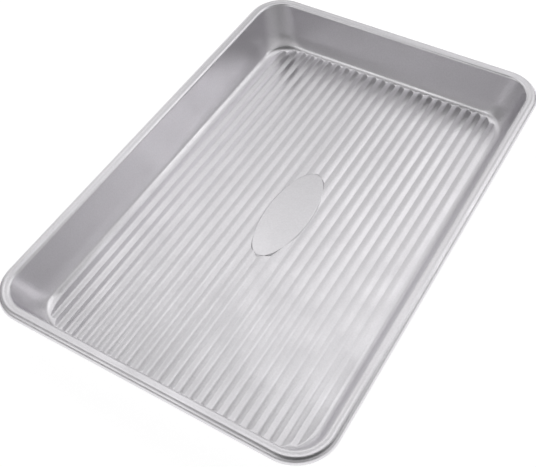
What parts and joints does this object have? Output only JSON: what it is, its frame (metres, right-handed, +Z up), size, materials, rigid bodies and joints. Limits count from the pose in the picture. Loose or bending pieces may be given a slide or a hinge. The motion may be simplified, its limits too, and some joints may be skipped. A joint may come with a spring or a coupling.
{
  "type": "rimmed baking sheet",
  "caption": "Rectangular drawn steel baking pan with flared walls, rounded corners, a ribbed floor with a plain oval pad, and a rim curled round a stiffening wire.",
  "frame": {"origin": "middle of the underside, in the plane that the pan stands on", "axes": "+Z up out of the open top, +Y along the long sides, +X along the short sides"},
  "size_m": [0.274, 0.404, 0.0405],
  "materials": {
    "aluminised_sheet": "satin aluminised sheet steel with a clear release coating and a fine grain",
    "steel_wire": "plain drawn steel wire"
  },
  "bodies": {
    "root": {"pan_shell": "aluminised_sheet", "rim_wire": "steel_wire"}
  },
  "joints": []
}
